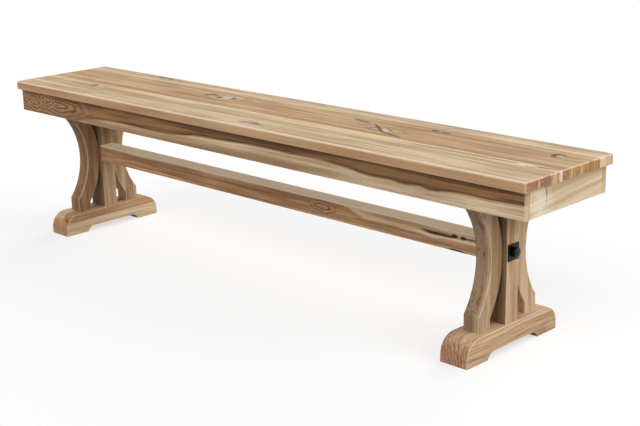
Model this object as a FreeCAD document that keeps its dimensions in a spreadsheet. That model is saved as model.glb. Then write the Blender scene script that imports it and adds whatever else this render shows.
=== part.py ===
import FreeCAD, Part
import math
import os
import Sketcher

# Trestle bench with a draw leaf at each end. Millimetres. The origin is on the floor under the middle of
# the seat, +X runs along the bench, +Y to its back and +Z up. The front faces -Y.

DRIVING_SIZES = {
    # Seat, of four boards glued edge to edge: the heart board takes the depth that the others leave
    "bench_length": 1905,
    "seat_depth": 335,
    "seat_height": 457,
    "seat_thickness": 25,
    "front_board_width": 90,
    "inner_board_width": 47,
    "back_board_width": 57,
    "seat_edge_round": 4,
    "seat_corner_round": 6,
    "seat_under_round": 2.5,
    # Apron box under the seat
    "apron_height": 65,
    "apron_thickness": 16,
    "end_overhang": 10,
    "side_overhang": 12,
    "apron_round": 1.5,
    "ledger_width": 20,
    "ledger_height": 18,
    "end_rail_width": 45,
    "end_rail_gap": 2,
    "cleat_width": 45,
    "cleat_gap": 90,
    "strip_round": 1,
    # Draw leaves and what stops them
    "leaf_thickness": 19,
    "leaf_length": 560,
    "leaf_draw": 254,
    "leaf_gap": 0.5,
    "slide_gap": 0.3,
    "side_gap": 0.8,
    "bearer_width": 24,
    "bearer_gap": 0.8,
    "bearer_stop_gap": 9,
    "tail_rail_width": 30,
    "tail_rail_gap": 1.5,
    "stop_length": 42,
    "stop_thickness": 18,
    "stop_gap": 0.5,
    # Trestles
    "trestle_inset": 182.5,
    "foot_length": 346,
    "foot_width": 78,
    "foot_height": 63,
    "foot_toe_radius": 45,
    "foot_relief": 16,
    "foot_pad_length": 77,
    "foot_cove_radius": 25,
    "post_width": 66,
    "post_depth": 48,
    "leg_width": 44,
    "leg_thickness": 42.5,
    "leg_reach": 110,
    "leg_head_reach": 123,
    "leg_block_height": 39,
    "head_width": 70,
    "trestle_round": 2,
    "post_tenon_width": 40,
    "post_tenon_thickness": 24,
    "foot_tenon_length": 20,
    "head_tenon_cover": 10,
    # Stretcher
    "stretcher_height": 50,
    "stretcher_rise": 235,
    "stretcher_tenon_length": 12,
    "stretcher_tenon_thickness": 24,
    "stretcher_tenon_height": 30,
    # Iron ties through the posts
    "plate_side": 40,
    "plate_thickness": 3,
    "plate_bevel": 0.8,
    "washer_diameter": 26,
    "washer_thickness": 2,
    "bolt_diameter": 10,
    "bolt_head_flats": 22,
    "bolt_head_height": 12,
    "bolt_crown_radius": 25,
    "nut_diameter": 16,
    "nut_length": 36,
    "nut_setback": 50,
    "nut_cover": 6,
    # Dowels and screws
    "leg_dowel_diameter": 12,
    "leg_dowel_depth": 22,
    "leg_dowel_edge": 12,
    "head_dowel_cover": 5,
    "seat_dowel_diameter": 8,
    "seat_dowel_length": 28,
    "seat_dowel_depth": 11,
    "seat_dowel_inset": 100,
    "screw_diameter": 4.5,
    "screw_head_diameter": 9,
    "screw_head_height": 4,
    "ledger_screw_bite": 11.3,
    "ledger_screw_edge": 13,
    "ledger_screw_inset": 6,
    "cleat_screw_bite": 14.2,
    "leaf_screw_bite": 13.5,
    "leaf_screw_inset": 55,
    "stop_screw_bite": 10,
    "stop_screw_edge": 10,
    # Room around tenons, dowels, bolts and screws
    "hole_gap": 0.2,
}

doc = FreeCAD.newDocument("ExtendingBench")
sheet = doc.addObject("Spreadsheet::Sheet", "Sizes")
for row, (size_name, size) in enumerate(DRIVING_SIZES.items(), start=1):
    sheet.set(f"A{row}", size_name)
    sheet.set(f"B{row}", str(size))
    sheet.setAlias(f"B{row}", size_name)
doc.recompute()

# Places worked out from the sizes are variables of the document, so that pieces that meet share them
layout = doc.addObject("App::VarSet", "Layout")


def worked_out(name, formula):
    layout.addProperty("App::PropertyFloat", name)
    layout.setExpression(name, formula)
    doc.recompute()
    return f"Layout.{name}"


# Heights in the apron box, from the seat down
seat_under = worked_out("seat_under", "Sizes.seat_height - Sizes.seat_thickness")
apron_under = worked_out("apron_under", f"{seat_under} - Sizes.apron_height")
leaf_top = worked_out("leaf_top", f"{seat_under} - Sizes.leaf_gap")
leaf_under = worked_out("leaf_under", f"{leaf_top} - Sizes.leaf_thickness")
ledger_top = worked_out("ledger_top", f"{leaf_under} - Sizes.slide_gap")
ledger_under = worked_out("ledger_under", f"{ledger_top} - Sizes.ledger_height")
bearer_under = worked_out("bearer_under", f"{ledger_under} + Sizes.bearer_gap")
bearer_height = worked_out("bearer_height", f"{leaf_under} - {bearer_under}")
head_thickness = worked_out("head_thickness", f"{ledger_under} - {apron_under}")
cleat_height = worked_out("cleat_height", f"{seat_under} - {ledger_top}")

# Distances from the middle of the bench, across it
apron_face = worked_out("apron_face", "Sizes.seat_depth / 2 - Sizes.side_overhang")
apron_back = worked_out("apron_back", f"{apron_face} - Sizes.apron_thickness")
ledger_face = worked_out("ledger_face", f"{apron_back} - Sizes.ledger_width")
stop_face = worked_out("stop_face", f"{ledger_face} - Sizes.stop_thickness")
bearer_across = worked_out("bearer_across", f"{stop_face} - Sizes.bearer_stop_gap - Sizes.bearer_width / 2")
leaf_edge = worked_out("leaf_edge", f"{apron_back} - Sizes.side_gap")

# Distances from the middle of the bench, along it
box_end = worked_out("box_end", "Sizes.bench_length / 2 - Sizes.end_overhang")
end_apron_back = worked_out("end_apron_back", f"{box_end} - Sizes.apron_thickness")
leaf_tail = worked_out("leaf_tail", f"{end_apron_back} - Sizes.leaf_length")
tail_rail_face = worked_out("tail_rail_face", f"{leaf_tail} + Sizes.tail_rail_width")
stop_near = worked_out("stop_near", f"{tail_rail_face} + Sizes.leaf_draw + Sizes.stop_gap")
cleat_out = worked_out("cleat_out", f"{leaf_tail} - Sizes.cleat_gap - Sizes.cleat_width / 2")
trestle_middle = worked_out("trestle_middle", "Sizes.bench_length / 2 - Sizes.trestle_inset")
post_outside = worked_out("post_outside", f"{trestle_middle} + Sizes.post_width / 2")
post_inside = worked_out("post_inside", f"{trestle_middle} - Sizes.post_width / 2")
nut_middle = worked_out("nut_middle", f"{post_inside} - Sizes.nut_setback")

# A hole is wider and longer than what goes in it by the gap on both sides
roomy = "2 * Sizes.hole_gap"

ENDS = {"left": -1, "right": 1}
SIDES = {"front": -1, "back": 1}
UP = FreeCAD.Vector(0, 0, 1)
X_AXIS, Y_AXIS, Z_AXIS = 0, 1, 2
BOTH_WAYS = (-1, 1)
SAME_PLACE = 1e-6
LEAST_CUT = 1.0

pieces = {}
hole_cuts = []


def value(formula):
    """The present size of a formula."""
    return float(sheet.evalExpression(formula))


def bind(item, **formulas):
    """Ties properties of an item to formulas over the sizes."""
    for name, formula in formulas.items():
        item.setExpression(name, formula)


def place(item, x, y, z):
    """Puts an item where three formulas say."""
    for axis, formula in zip("xyz", (x, y, z)):
        item.setExpression(f"Placement.Base.{axis}", formula)


def outwards(sign, near, width):
    """The low side and the width of a stretch that starts at near and runs away from the middle."""
    low = near if sign > 0 else f"-({near}) - ({width})"
    return low, width


def centred(width, middle="0"):
    """The low side and the width of a stretch about a middle."""
    return f"({middle}) - ({width}) / 2", width


def plank(name, x, y, z):
    """A squared blank. Each of x, y and z is a low side and a size."""
    body = doc.addObject("PartDesign::Body", f"{name}_blank")
    stock = body.newObject("PartDesign::AdditiveBox", f"{name}_stock")
    bind(stock, Length=x[1], Width=y[1], Height=z[1])
    place(body, x[0], y[0], z[0])
    doc.recompute()
    return body


def add_tenon(body, x, y, z):
    """A tenon on a body, given in the body's own frame as plank is."""
    tenon = body.newObject("PartDesign::AdditiveBox", f"{body.Name}_tenon")
    bind(tenon, Length=x[1], Width=y[1], Height=z[1])
    place(tenon, x[0], y[0], z[0])
    doc.recompute()


def edges_of(feature, chosen):
    """A feature with the names of the edges that chosen picks, as a fillet or chamfer takes them."""
    return feature, [f"Edge{i}" for i, edge in enumerate(feature.Shape.Edges, start=1) if chosen(edge)]


def ease(body, radius, chosen):
    """Rounds off the edges of a body that chosen picks."""
    rough = edges_of(body.Tip, chosen)
    rounding = body.newObject("PartDesign::Fillet", f"{body.Name}_rounding")
    rounding.Base = rough
    bind(rounding, Radius=radius)
    doc.recompute()


def bevel(body, width, chosen):
    """Bevels the edges of a body that chosen picks."""
    sharp = edges_of(body.Tip, chosen)
    chamfer = body.newObject("PartDesign::Chamfer", f"{body.Name}_bevel")
    chamfer.Base = sharp
    bind(chamfer, Size=width)
    doc.recompute()


def middle_of(edge):
    return edge.valueAt((edge.FirstParameter + edge.LastParameter) / 2)


def runs_along(edge, axis):
    start, end = edge.Vertexes[0].Point, edge.Vertexes[-1].Point
    return abs(abs((end - start)[axis]) - edge.Length) < SAME_PLACE


def at(edge, axis, place_on_axis):
    return abs(middle_of(edge)[axis] - place_on_axis) < SAME_PLACE


def block(name, x, y, z):
    """A plain box, used to cut a mortise."""
    box = doc.addObject("Part::Box", name)
    bind(box, Length=x[1], Width=y[1], Height=z[1])
    place(box, x[0], y[0], z[0])
    return box


def rod(name, start, direction, radius, length):
    """A round bar, or the bore for one, from a start point along a direction."""
    bar = doc.addObject("Part::Cylinder", name)
    bar.Placement = FreeCAD.Placement(FreeCAD.Vector(), FreeCAD.Rotation(UP, direction))
    bind(bar, Radius=radius, Height=length)
    place(bar, *start)
    return bar


def screw(name, start, direction, length, slack="0"):
    """A countersunk screw with its head flush at the start point or, with slack, the hole for it."""
    shank = doc.addObject("Part::Cylinder", f"{name}_shank")
    bind(shank, Radius=f"Sizes.screw_diameter / 2 + {slack}", Height=f"{length} + {slack}")
    head = doc.addObject("Part::Cone", f"{name}_head")
    bind(head, Radius1=f"Sizes.screw_head_diameter / 2 + {slack}", Height="Sizes.screw_head_height")
    bind(head, Radius2=f"Sizes.screw_diameter / 2 + {slack}")
    whole = doc.addObject("Part::MultiFuse", name)
    whole.Shapes = [shank, head]
    whole.Placement = FreeCAD.Placement(FreeCAD.Vector(), FreeCAD.Rotation(UP, direction))
    place(whole, *start)
    return whole


def screws_and_holes(name, spots, length):
    """A group of like screws, and the holes for them. A spot is a start and a direction, under a key."""
    screws = []
    holes = {}
    for number, (key, (start, direction)) in enumerate(spots.items(), start=1):
        screws.append(screw(f"{name}_{number}", start, direction, length))
        holes[key] = screw(f"{name}_hole_{number}", start, direction, length, "Sizes.hole_gap")
    group(name, screws)
    return holes


def picked(holes, *words):
    """The holes whose keys hold all the given words."""
    return [hole for key, hole in holes.items() if set(words) <= set(key)]


def group(name, members):
    """Like pieces that share one node, each a solid of its own."""
    together = doc.addObject("Part::Compound", name)
    together.Links = members
    pieces[name] = together


def joined(name, members):
    if len(members) == 1:
        return members[0]
    whole = doc.addObject("Part::MultiFuse", name)
    whole.Shapes = members
    return whole


def piece(name, blank, cutters=()):
    """A finished piece: its blank, less the holes and mortises cut in it."""
    finished = blank
    if cutters:
        finished = doc.addObject("Part::Cut", f"{name}_cut")
        finished.Base = blank
        finished.Tool = joined(f"{name}_cutters", list(cutters))
        hole_cuts.append(finished)
    finished.Label = name
    pieces[name] = finished


def origin_plane(body, role):
    return next(item for item in body.Origin.OriginFeatures if item.Role == role)


def sketch_on_end_plane(body, name):
    """A sketch seen from the bench's end: its x is the bench's Y, its y the bench's Z."""
    sketch = body.newObject("Sketcher::SketchObject", name)
    sketch.AttachmentSupport = (origin_plane(body, "YZ_Plane"), [""])
    sketch.MapMode = "FlatFace"
    return sketch


def dimension(sketch, name, formula, *where):
    """A named dimension of a sketch, tied to a formula. It is written at its present size first."""
    index = sketch.addConstraint(Sketcher.Constraint(*where))
    sketch.renameConstraint(index, name)
    sketch.setExpression(f"Constraints.{name}", formula)


def pad_both_ways(body, sketch, width):
    pad = body.newObject("PartDesign::Pad", f"{body.Name}_pad")
    pad.Profile = sketch
    pad.SideType = "Symmetric"
    bind(pad, Length=width)
    doc.recompute()
    return pad


# Dowels between the long aprons and the seat boards over them
SEAT_DOWEL_STEPS = (-1, -0.5, 0, 0.5, 1)
seat_dowels = []
seat_dowel_holes = {}
dowel_foot = f"{seat_under} + Sizes.seat_dowel_depth - Sizes.seat_dowel_length"
for side, sign in SIDES.items():
    holes = []
    for number, step in enumerate(SEAT_DOWEL_STEPS, start=1):
        across = f"{sign} * ({apron_face} - Sizes.apron_thickness / 2)"
        start = (f"{step} * ({box_end} - Sizes.seat_dowel_inset)", across, dowel_foot)
        roomy_start = (start[0], across, f"{dowel_foot} - Sizes.hole_gap")
        name = f"seat_dowel_{side}_{number}"
        seat_dowels.append(rod(name, start, UP, "Sizes.seat_dowel_diameter / 2", "Sizes.seat_dowel_length"))
        holes.append(rod(f"{name}_hole", roomy_start, UP, "Sizes.seat_dowel_diameter / 2 + Sizes.hole_gap",
                         f"Sizes.seat_dowel_length + {roomy}"))
    seat_dowel_holes[side] = holes
group("seat_dowels", seat_dowels)

# Cleats across the middle of the seat, each screwed up into all four boards
CLEAT_STEPS = {"left": -1, "middle": 0, "right": 1}
front_edge = "-Sizes.seat_depth / 2"
inner_edge = f"({front_edge} + Sizes.front_board_width)"
heart_edge = f"({inner_edge} + Sizes.inner_board_width)"
back_edge = "(Sizes.seat_depth / 2 - Sizes.back_board_width)"
SEAT_BOARDS = {
    "front": (front_edge, "Sizes.front_board_width"),
    "inner": (inner_edge, "Sizes.inner_board_width"),
    "heart": (heart_edge, f"{back_edge} - {heart_edge}"),
    "back": (back_edge, "Sizes.back_board_width"),
}
cleat_screw_lines = {
    "front": f"({inner_edge} - {apron_back}) / 2",
    "inner": f"({inner_edge} + {heart_edge}) / 2",
    "heart": f"({heart_edge} + {back_edge}) / 2",
    "back": f"({back_edge} + {apron_back}) / 2",
}
cleat_spots = {}
for cleat, step in CLEAT_STEPS.items():
    for board, line in cleat_screw_lines.items():
        cleat_spots[cleat, board] = ((f"{step} * {cleat_out}", line, ledger_top), UP)
cleat_holes = screws_and_holes("cleat_screws", cleat_spots, f"{cleat_height} + Sizes.cleat_screw_bite")
for name, step in CLEAT_STEPS.items():
    cleat = plank(f"seat_cleat_{name}", centred("Sizes.cleat_width", f"{step} * {cleat_out}"),
                  centred(f"2 * {apron_back}"), (ledger_top, cleat_height))
    piece(f"seat_cleat_{name}", cleat, picked(cleat_holes, name))

# Seat boards. The rim of the seat is rounded, and the glued edges stay square
for name, (low_side, width) in SEAT_BOARDS.items():
    board = plank(f"seat_board_{name}", centred("Sizes.bench_length"), (low_side, width),
                  (seat_under, "Sizes.seat_thickness"))
    board_width = board.Shape.BoundBox.YLength
    outer_side = {"front": 0.0, "back": board_width}.get(name)

    def on_rim(edge, height):
        if not at(edge, Z_AXIS, height):
            return False
        return not runs_along(edge, X_AXIS) or (outer_side is not None and at(edge, Y_AXIS, outer_side))

    if outer_side is not None:
        ease(board, "Sizes.seat_corner_round",
             lambda edge: runs_along(edge, Z_AXIS) and at(edge, Y_AXIS, outer_side))
    ease(board, "Sizes.seat_edge_round", lambda edge: on_rim(edge, value("Sizes.seat_thickness")))
    ease(board, "Sizes.seat_under_round", lambda edge: on_rim(edge, 0.0))
    piece(f"seat_board_{name}", board, picked(cleat_holes, name) + seat_dowel_holes.get(name, []))

# Long aprons under the front and back of the seat, their ends flush with the end aprons
for side, sign in SIDES.items():
    apron = plank(f"apron_{side}", centred(f"2 * {box_end}"),
                  outwards(sign, apron_back, "Sizes.apron_thickness"), (apron_under, "Sizes.apron_height"))
    ease(apron, "Sizes.apron_round",
         lambda edge: runs_along(edge, Z_AXIS) or (runs_along(edge, X_AXIS) and at(edge, Z_AXIS, 0.0)))
    piece(f"apron_{side}", apron, seat_dowel_holes[side])

# Screws up through the trestle heads and the end rails into the ledgers
ledger_line = f"({apron_back} - Sizes.ledger_screw_inset)"
end_rail_middle = f"({end_apron_back} - Sizes.end_rail_gap - Sizes.end_rail_width / 2)"
head_screw_out = "(Sizes.head_width / 2 - Sizes.ledger_screw_edge)"
ledger_spots = {}
for end, end_sign in ENDS.items():
    for side, side_sign in SIDES.items():
        across = f"{side_sign} * {ledger_line}"
        ledger_spots["rail", end, side] = ((f"{end_sign} * {end_rail_middle}", across, apron_under), UP)
        for step in BOTH_WAYS:
            along = f"{end_sign} * {trestle_middle} + {step} * {head_screw_out}"
            ledger_spots["head", end, side, step] = ((along, across, apron_under), UP)
ledger_holes = screws_and_holes("ledger_screws", ledger_spots, f"{head_thickness} + Sizes.ledger_screw_bite")

# Blocks on the ledgers that the leaves' tail rails stop against, each with two screws into its ledger
stop_middle = f"({stop_near} + Sizes.stop_length / 2)"
stop_level = f"({ledger_under} + Sizes.ledger_height / 2)"
stop_spots = {}
for end, end_sign in ENDS.items():
    for side, side_sign in SIDES.items():
        for step in BOTH_WAYS:
            along = f"{end_sign} * {stop_middle} + {step} * (Sizes.stop_length / 2 - Sizes.stop_screw_edge)"
            start = (along, f"{side_sign} * {stop_face}", stop_level)
            stop_spots[end, side, step] = (start, FreeCAD.Vector(0, side_sign, 0))
stop_holes = screws_and_holes("stop_screws", stop_spots, "Sizes.stop_thickness + Sizes.stop_screw_bite")
for end, end_sign in ENDS.items():
    for side, side_sign in SIDES.items():
        name = f"stop_block_{end}_{side}"
        stop = plank(name, outwards(end_sign, stop_near, "Sizes.stop_length"),
                     outwards(side_sign, stop_face, "Sizes.stop_thickness"),
                     (ledger_under, "Sizes.ledger_height"))
        piece(name, stop, picked(stop_holes, end, side))

# Ledgers inside the long aprons, which carry the leaves and sit on the heads and end rails
for side, sign in SIDES.items():
    ledger = plank(f"ledger_{side}", centred(f"2 * ({end_apron_back} - Sizes.end_rail_gap)"),
                   outwards(sign, ledger_face, "Sizes.ledger_width"), (ledger_under, "Sizes.ledger_height"))
    piece(f"ledger_{side}", ledger, picked(ledger_holes, side) + picked(stop_holes, side))

# End rails, which tie the long aprons together just inside the end aprons
for end, sign in ENDS.items():
    rail = plank(f"end_rail_{end}", centred("Sizes.end_rail_width", f"{sign} * {end_rail_middle}"),
                 centred(f"2 * {apron_back}"), (apron_under, head_thickness))
    ease(rail, "Sizes.strip_round", lambda edge: runs_along(edge, Y_AXIS) and at(edge, Z_AXIS, 0.0))
    piece(f"end_rail_{end}", rail, picked(ledger_holes, "rail", end))


# Trestle feet: rounded toes, and a relief under the middle with a cove at each pad
def foot_blank(name, middle):
    body = doc.addObject("PartDesign::Body", f"{name}_blank")
    half = value("Sizes.foot_length") / 2
    height, relief = value("Sizes.foot_height"), value("Sizes.foot_relief")
    toe, cove = value("Sizes.foot_toe_radius"), value("Sizes.foot_cove_radius")
    pad_end = half - value("Sizes.foot_pad_length")
    cove_middle = pad_end - math.sqrt(cove ** 2 - (cove - relief) ** 2)
    cove_start = math.asin((cove - relief) / cove)
    right_angle = math.pi / 2

    def point(across, up):
        return FreeCAD.Vector(across, up, 0)

    def arc(across, up, radius, start, end):
        return Part.ArcOfCircle(Part.Circle(point(across, up), UP, radius), start, end)

    sketch = sketch_on_end_plane(body, f"{name}_outline")
    flat = sketch.addGeometry(Part.LineSegment(point(0, relief), point(cove_middle, relief)), False)
    hollow = sketch.addGeometry(arc(cove_middle, relief - cove, cove, cove_start, right_angle), False)
    ground = sketch.addGeometry(Part.LineSegment(point(pad_end, 0), point(half, 0)), False)
    tip = sketch.addGeometry(Part.LineSegment(point(half, 0), point(half, height - toe)), False)
    shoulder = sketch.addGeometry(arc(half - toe, height - toe, toe, 0, right_angle), False)
    top = sketch.addGeometry(Part.LineSegment(point(half - toe, height), point(0, height)), False)
    middle_line = sketch.addGeometry(Part.LineSegment(point(0, height), point(0, relief)), False)
    for rule in (
        ("Tangent", flat, 2, hollow, 2),
        ("Coincident", hollow, 1, ground, 1),
        ("Coincident", ground, 2, tip, 1),
        ("Tangent", tip, 2, shoulder, 1),
        ("Tangent", shoulder, 2, top, 1),
        ("Coincident", top, 2, middle_line, 1),
        ("Coincident", middle_line, 2, flat, 1),
        ("Horizontal", flat),
        ("Vertical", tip),
        ("Horizontal", top),
        ("PointOnObject", ground, 1, -1),
        ("PointOnObject", ground, 2, -1),
        ("PointOnObject", middle_line, 1, -2),
        ("PointOnObject", middle_line, 2, -2),
    ):
        sketch.addConstraint(Sketcher.Constraint(*rule))
    dimension(sketch, "half_length", "Sizes.foot_length / 2", "DistanceX", -1, 1, ground, 2, half)
    dimension(sketch, "pad_length", "Sizes.foot_pad_length",
              "DistanceX", ground, 1, ground, 2, half - pad_end)
    dimension(sketch, "height", "Sizes.foot_height", "DistanceY", -1, 1, top, 2, height)
    dimension(sketch, "relief", "Sizes.foot_relief", "DistanceY", -1, 1, flat, 1, relief)
    dimension(sketch, "toe_radius", "Sizes.foot_toe_radius", "Radius", shoulder, toe)
    dimension(sketch, "cove_radius", "Sizes.foot_cove_radius", "Radius", hollow, cove)
    pad = pad_both_ways(body, sketch, "Sizes.foot_width")
    mirror = body.newObject("PartDesign::Mirrored", f"{name}_other_half")
    mirror.Originals = [pad]
    mirror.MirrorPlane = (origin_plane(body, "XZ_Plane"), [""])
    body.Tip = mirror
    place(body, middle, "0", "0")
    doc.recompute()
    side_face = value("Sizes.foot_width") / 2

    def shows(edge):
        on_side = at(edge, X_AXIS, side_face) or at(edge, X_AXIS, -side_face)
        spot = middle_of(edge)
        return on_side and (spot.z > relief + SAME_PLACE or abs(spot.y) > half - SAME_PLACE)

    ease(body, "Sizes.trestle_round", shows)
    return body


# Bowed legs: a plumb block on the foot, then two arcs about one centre up to the head. The outer arc is at
# its narrowest where the leg touches the post, and flares from there down to the block and up to the head
bow_waist = worked_out("bow_waist", "Sizes.post_depth / 2 + Sizes.leg_thickness")
low_flare = worked_out("low_flare", f"Sizes.leg_reach - {bow_waist}")
high_flare = worked_out("high_flare", f"Sizes.leg_head_reach - {bow_waist}")
bow_start = worked_out("bow_start", "Sizes.foot_height + Sizes.leg_block_height")
bow_span = worked_out("bow_span", f"{apron_under} - {bow_start}")
flare_gain = worked_out("flare_gain", f"{high_flare} - {low_flare}")
flare_mean = worked_out("flare_mean",
                        f"sqrt({low_flare} * {high_flare} * ({bow_span} ^ 2 + {flare_gain} ^ 2))")
bow_rise = worked_out("bow_rise",
                      f"{low_flare} * ({bow_span} ^ 2 + {high_flare} * {flare_gain})"
                      f" / ({flare_mean} + {low_flare} * {bow_span})")
bow_radius = worked_out("bow_radius", f"({bow_rise} ^ 2 + {low_flare} ^ 2) / (2 * {low_flare})")
bow_height = worked_out("bow_height", f"{bow_start} + {bow_rise}")
bow_middle = worked_out("bow_middle", f"{bow_waist} + {bow_radius}")
back_radius = worked_out("back_radius", f"{bow_radius} + Sizes.leg_thickness")


def leg_blank(name, middle, turn):
    body = doc.addObject("PartDesign::Body", f"{name}_blank")
    reach, thickness = value("Sizes.leg_reach"), value("Sizes.leg_thickness")
    foot_top, top = value("Sizes.foot_height"), value(apron_under)
    across, rise = value(bow_middle), value(bow_height)
    centre = FreeCAD.Vector(-across, rise, 0)

    def arc(arc_radius, block_face):
        low = -math.acos((across - block_face) / arc_radius)
        high = math.asin((top - rise) / arc_radius)
        return Part.ArcOfCircle(Part.Circle(centre, UP, arc_radius), low, high)

    outer = arc(value(bow_radius), reach)
    inner = arc(value(back_radius), reach - thickness)
    foot_front = FreeCAD.Vector(-reach, foot_top, 0)
    foot_back = FreeCAD.Vector(thickness - reach, foot_top, 0)
    sketch = sketch_on_end_plane(body, f"{name}_outline")
    block_front = sketch.addGeometry(Part.LineSegment(foot_front, outer.StartPoint), False)
    bow = sketch.addGeometry(outer, False)
    head_line = sketch.addGeometry(Part.LineSegment(outer.EndPoint, inner.EndPoint), False)
    back_bow = sketch.addGeometry(inner, False)
    block_back = sketch.addGeometry(Part.LineSegment(inner.StartPoint, foot_back), False)
    foot_line = sketch.addGeometry(Part.LineSegment(foot_back, foot_front), False)
    for rule in (
        ("Coincident", block_front, 2, bow, 1),
        ("Coincident", bow, 2, head_line, 1),
        ("Coincident", head_line, 2, back_bow, 2),
        ("Coincident", back_bow, 1, block_back, 1),
        ("Coincident", block_back, 2, foot_line, 1),
        ("Coincident", foot_line, 2, block_front, 1),
        ("Coincident", bow, 3, back_bow, 3),
        ("Vertical", block_front),
        ("Vertical", block_back),
        ("Horizontal", head_line),
        ("Horizontal", foot_line),
    ):
        sketch.addConstraint(Sketcher.Constraint(*rule))
    dimension(sketch, "bow_radius", bow_radius, "Radius", bow, outer.Radius)
    dimension(sketch, "back_radius", back_radius, "Radius", back_bow, inner.Radius)
    dimension(sketch, "bow_middle", bow_middle, "DistanceX", bow, 3, -1, 1, across)
    dimension(sketch, "bow_height", bow_height, "DistanceY", -1, 1, bow, 3, rise)
    dimension(sketch, "reach", "Sizes.leg_reach", "DistanceX", block_front, 1, -1, 1, reach)
    dimension(sketch, "block", "Sizes.leg_thickness", "DistanceX", block_front, 1, block_back, 2, thickness)
    dimension(sketch, "foot_top", "Sizes.foot_height", "DistanceY", -1, 1, block_front, 1, foot_top)
    dimension(sketch, "head_under", apron_under, "DistanceY", -1, 1, head_line, 1, top)
    pad_both_ways(body, sketch, "Sizes.leg_width")
    body.Placement = FreeCAD.Placement(FreeCAD.Vector(), FreeCAD.Rotation(UP, turn))
    place(body, middle, "0", "0")
    doc.recompute()
    ease(body, "Sizes.trestle_round",
         lambda edge: not runs_along(edge, X_AXIS) and not runs_along(edge, Y_AXIS))
    return body


# Posts: square timbers between foot and head, with a tenon at each end
head_tenon_length = f"({head_thickness} - Sizes.head_tenon_cover)"


def post_blank(name, middle):
    body = doc.addObject("PartDesign::Body", f"{name}_blank")
    stock = body.newObject("PartDesign::AdditiveBox", f"{name}_stock")
    bind(stock, Length="Sizes.post_width", Width="Sizes.post_depth")
    bind(stock, Height=f"{apron_under} - Sizes.foot_height")
    place(stock, "-Sizes.post_width / 2", "-Sizes.post_depth / 2", "Sizes.foot_height")
    place(body, middle, "0", "0")
    doc.recompute()
    ease(body, "Sizes.trestle_round", lambda edge: runs_along(edge, Z_AXIS))
    tenon_x, tenon_y = centred("Sizes.post_tenon_width"), centred("Sizes.post_tenon_thickness")
    add_tenon(body, tenon_x, tenon_y,
              ("Sizes.foot_height - Sizes.foot_tenon_length", "Sizes.foot_tenon_length"))
    add_tenon(body, tenon_x, tenon_y, (apron_under, head_tenon_length))
    return body


# Iron tie at each post: a square plate, a washer and a bolt that draws the stretcher to the post
plate_face = f"({post_outside} + Sizes.plate_thickness)"
washer_face = f"({plate_face} + Sizes.washer_thickness)"
bolt_tip = f"({nut_middle} - Sizes.nut_diameter / 2)"
bolt_shank = f"({washer_face} - {bolt_tip})"
nut_level = "(Sizes.stretcher_rise - Sizes.nut_length / 2)"
bolt_bores = {}
nut_bores = {}
for end, sign in ENDS.items():
    inward = FreeCAD.Vector(-sign, 0, 0)
    bolt_start = (f"{sign} * {washer_face}", "0", "Sizes.stretcher_rise")
    bolt_bores[end] = rod(f"tie_bore_{end}", bolt_start, inward, "Sizes.bolt_diameter / 2 + Sizes.hole_gap",
                          f"{bolt_shank} + Sizes.hole_gap")
    plate = plank(f"tie_plate_{end}", outwards(sign, post_outside, "Sizes.plate_thickness"),
                  centred("Sizes.plate_side"), centred("Sizes.plate_side", "Sizes.stretcher_rise"))
    outer_face = max(0.0, sign * value("Sizes.plate_thickness"))
    bevel(plate, "Sizes.plate_bevel", lambda edge: at(edge, X_AXIS, outer_face))
    piece(f"tie_plate_{end}", plate, [bolt_bores[end]])

    washer = rod(f"tie_washer_{end}_blank", bolt_start, inward,
                 "Sizes.washer_diameter / 2", "Sizes.washer_thickness")
    piece(f"tie_washer_{end}", washer, [bolt_bores[end]])

    hexagon = doc.addObject("Part::Prism", f"tie_bolt_{end}_hexagon")
    hexagon.Polygon = 6
    bind(hexagon, Circumradius="Sizes.bolt_head_flats / sqrt(3)", Height="Sizes.bolt_head_height")
    crown = doc.addObject("Part::Sphere", f"tie_bolt_{end}_crown")
    bind(crown, Radius="Sizes.bolt_crown_radius")
    place(crown, "0", "0", "Sizes.bolt_head_height - Sizes.bolt_crown_radius")
    head = doc.addObject("Part::Common", f"tie_bolt_{end}_head")
    head.Base = hexagon
    head.Tool = crown
    shank = doc.addObject("Part::Cylinder", f"tie_bolt_{end}_shank")
    bind(shank, Radius="Sizes.bolt_diameter / 2", Height=bolt_shank)
    place(shank, "0", "0", f"-{bolt_shank}")
    bolt = doc.addObject("Part::Fuse", f"tie_bolt_{end}_whole")
    bolt.Base = head
    bolt.Tool = shank
    bolt.Placement = FreeCAD.Placement(FreeCAD.Vector(), FreeCAD.Rotation(UP, FreeCAD.Vector(sign, 0, 0)))
    place(bolt, *bolt_start)
    piece(f"tie_bolt_{end}", bolt)

    # The barrel nut lies upright in the stretcher, in a bore from underneath
    nut_x = f"{sign} * {nut_middle}"
    nut = rod(f"barrel_nut_{end}_blank", (nut_x, "0", nut_level), UP,
              "Sizes.nut_diameter / 2", "Sizes.nut_length")
    piece(f"barrel_nut_{end}", nut, [bolt_bores[end]])
    stretcher_under = "(Sizes.stretcher_rise - Sizes.stretcher_height / 2)"
    nut_bores[end] = rod(f"barrel_nut_bore_{end}", (nut_x, "0", stretcher_under), UP,
                         "Sizes.nut_diameter / 2 + Sizes.hole_gap",
                         "Sizes.stretcher_height - Sizes.nut_cover")

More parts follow.
